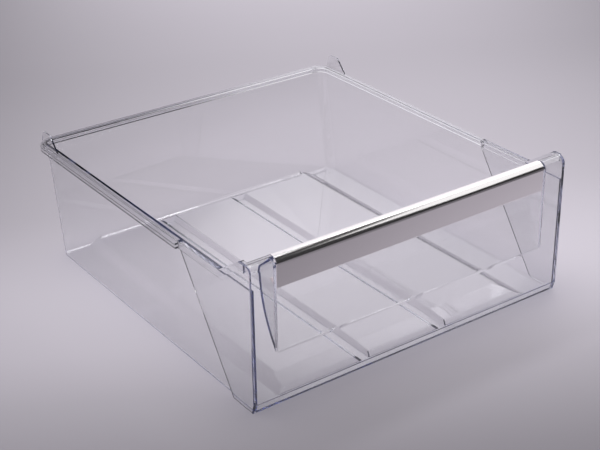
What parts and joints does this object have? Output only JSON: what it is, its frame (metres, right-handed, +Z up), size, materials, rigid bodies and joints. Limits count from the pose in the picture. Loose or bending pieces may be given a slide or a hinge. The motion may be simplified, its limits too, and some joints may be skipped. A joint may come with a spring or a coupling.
{
  "type": "freezer drawer",
  "caption": "Clear open-topped drawer with a recessed finger grip under a rounded bright trim, a leaning back and a rolled rim that runs on ledges.",
  "frame": {"origin": "under the middle of the drawer, on the plane of its underside", "axes": "+X to the right along the front, +Y from the front face to the back, +Z up"},
  "size_m": [0.461, 0.488, 0.1805],
  "materials": {
    "clear_tub": "clear moulded polystyrene, glossy",
    "clear_panel": "clear moulded polystyrene, glossy",
    "bright_trim": "bright, slightly brushed along its length"
  },
  "bodies": {
    "root": {"tub": "clear_tub", "front_panel": "clear_panel", "handle_trim": "bright_trim"}
  },
  "joints": []
}
